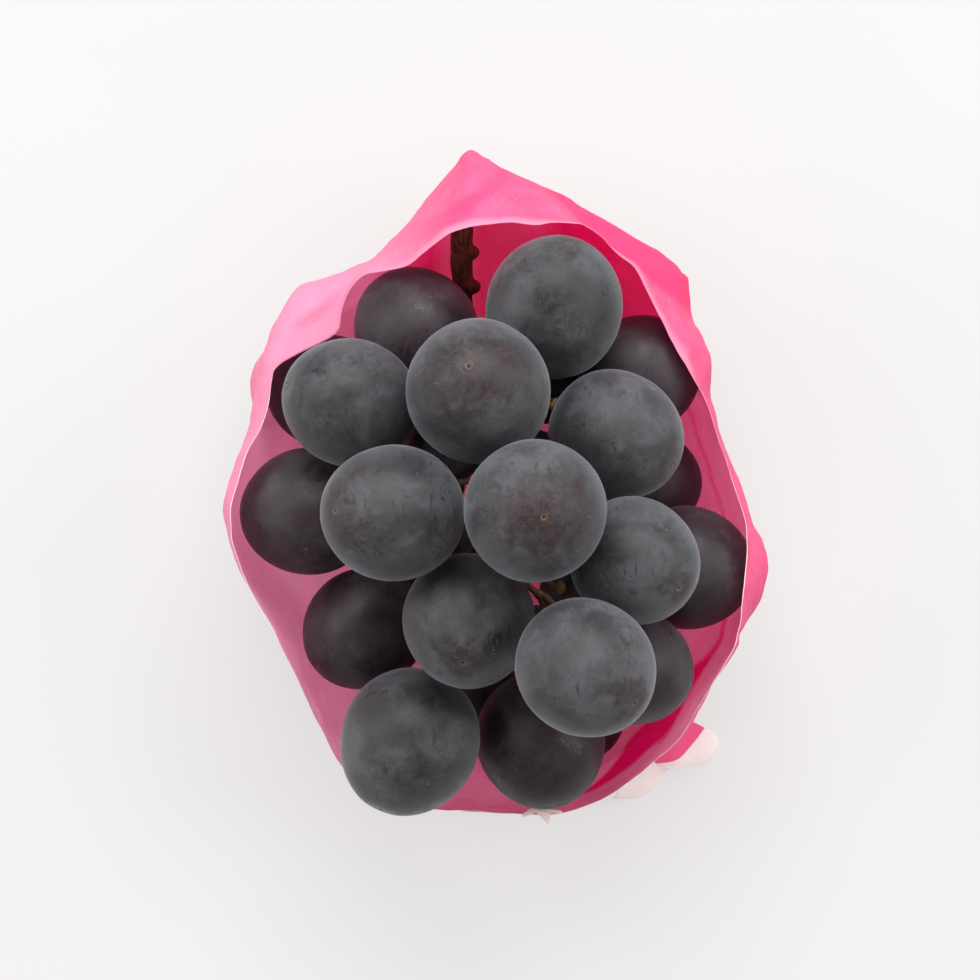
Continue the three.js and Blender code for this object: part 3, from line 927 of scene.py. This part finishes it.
def loft(name, lines, bare_of):
    """A sheet through lines of points, smooth both ways, with a little crumple in it."""
    across = [spline(np.array(line) * MM, 8, False) for line in lines]
    grid = spline(np.array(across), 8, False)
    rows, count, _ = grid.shape
    normal = sheet_normals_open(grid)
    grid = grid + normal * (noise_field(grid.reshape(-1, 3), 160, 3) * 0.5 * MM).reshape(rows, count, 1)
    grid[..., 2] = np.maximum(grid[..., 2], TABLE_GAP)
    faces = [(r * count + i, r * count + i + 1, (r + 1) * count + i + 1, (r + 1) * count + i)
             for r in range(rows - 1) for i in range(count - 1)]
    obj = new_object(name, grid.reshape(-1, 3), faces, TISSUE_SIDES[0])
    along = np.repeat(np.arange(rows) / (rows - 1), count)
    add_attribute(obj, "bare", bare_of(along))
    add_attribute(obj, "double_outside", 0.75 * (bare_of(along) < 0.5))
    add_attribute(obj, "double_inside", 0.75 * (bare_of(along) < 0.5))
    return finish_paper(obj)


def sheet_normals_open(grid):
    n = np.cross(np.gradient(grid, axis=1), np.gradient(grid, axis=0))
    return n / np.maximum(np.linalg.norm(n, axis=2, keepdims=True), 1e-12)


def nearest_on(points, target):
    gaps = np.linalg.norm(points[:, :2] - np.array(target[:2]) * MM, axis=1)
    return points[int(np.argmin(gaps))]


def beyond_first_line(along):
    """Bare from half way along a flap, where the first of its two lines is."""
    return smoothstep(0.46, 0.56, along)


def make_flaps(grid):
    wall = grid.reshape(-1, 3)
    wall = wall[(wall[:, 2] > 5 * MM) & (wall[:, 2] < 12 * MM)]
    made = []
    for name, (lines, inkless) in FLAPS.items():
        root = [tuple(nearest_on(wall, p) / MM * FLAP_ROOT) for p in lines[0]]
        bare_of = np.ones_like if inkless == "all" else beyond_first_line
        made.append(loft(name, [root, *lines], bare_of))
    for name, lines in CORNER.items():
        lifted = [[(x, y, nearest_on(grid[0], (x, y))[2] / MM + CORNER_LIFT) for x, y in line]
                  for line in lines]
        made.append(loft(name, lifted, np.ones_like))
    return made


sleeve, sleeve_grid_points = make_sleeve()
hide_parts("paper_sleeve")
flaps = make_flaps(sleeve_grid_points)

# ------------------------------------------------------------------ studio


TABLE_REACH = 3.0                # half the table's width
TABLE_STEPS = 12
TABLE_DROP = 0.0002              # how far the table lies under the sleeve
LIGHT_AIM = (0, 0, 0.04)
KEY_POWER = 29.0
SIDE_POWER = 10.0
SKY_COLOUR = (1.0, 0.995, 0.985, 1)
SKY_STRENGTH = 0.64


def area_light(name, place, size, power):
    data = bpy.data.lights.new(name, "AREA")
    data.shape = "RECTANGLE"
    data.size, data.size_y = size
    data.energy = power
    light = bpy.data.objects.new(name, data)
    light.location = place
    light.rotation_euler = (Vector(LIGHT_AIM) - Vector(place)).to_track_quat("-Z", "Y").to_euler()
    bpy.context.scene.collection.objects.link(light)


def make_studio():
    line = np.linspace(-TABLE_REACH, TABLE_REACH, TABLE_STEPS)
    verts = [(x, y, -TABLE_DROP) for y in line for x in line]
    corners = [j * TABLE_STEPS + i for j in range(TABLE_STEPS - 1) for i in range(TABLE_STEPS - 1)]
    faces = [(a, a + 1, a + TABLE_STEPS + 1, a + TABLE_STEPS) for a in corners]
    table = new_object("table", verts, faces, table_material())
    area_light("key", (0.05, 1.05, 1.10), (1.3, 0.8), KEY_POWER)
    area_light("left", (-1.1, 0.30, 0.75), (0.8, 1.0), SIDE_POWER)
    area_light("right", (1.1, 0.30, 0.75), (0.8, 1.0), SIDE_POWER)
    world = bpy.data.worlds.new("studio")
    world.use_nodes = True
    sky = world.node_tree.nodes["Background"]
    sky.inputs[0].default_value = SKY_COLOUR
    sky.inputs[1].default_value = SKY_STRENGTH
    bpy.context.scene.world = world
    bpy.context.scene.view_settings.view_transform = "Standard"


make_studio()
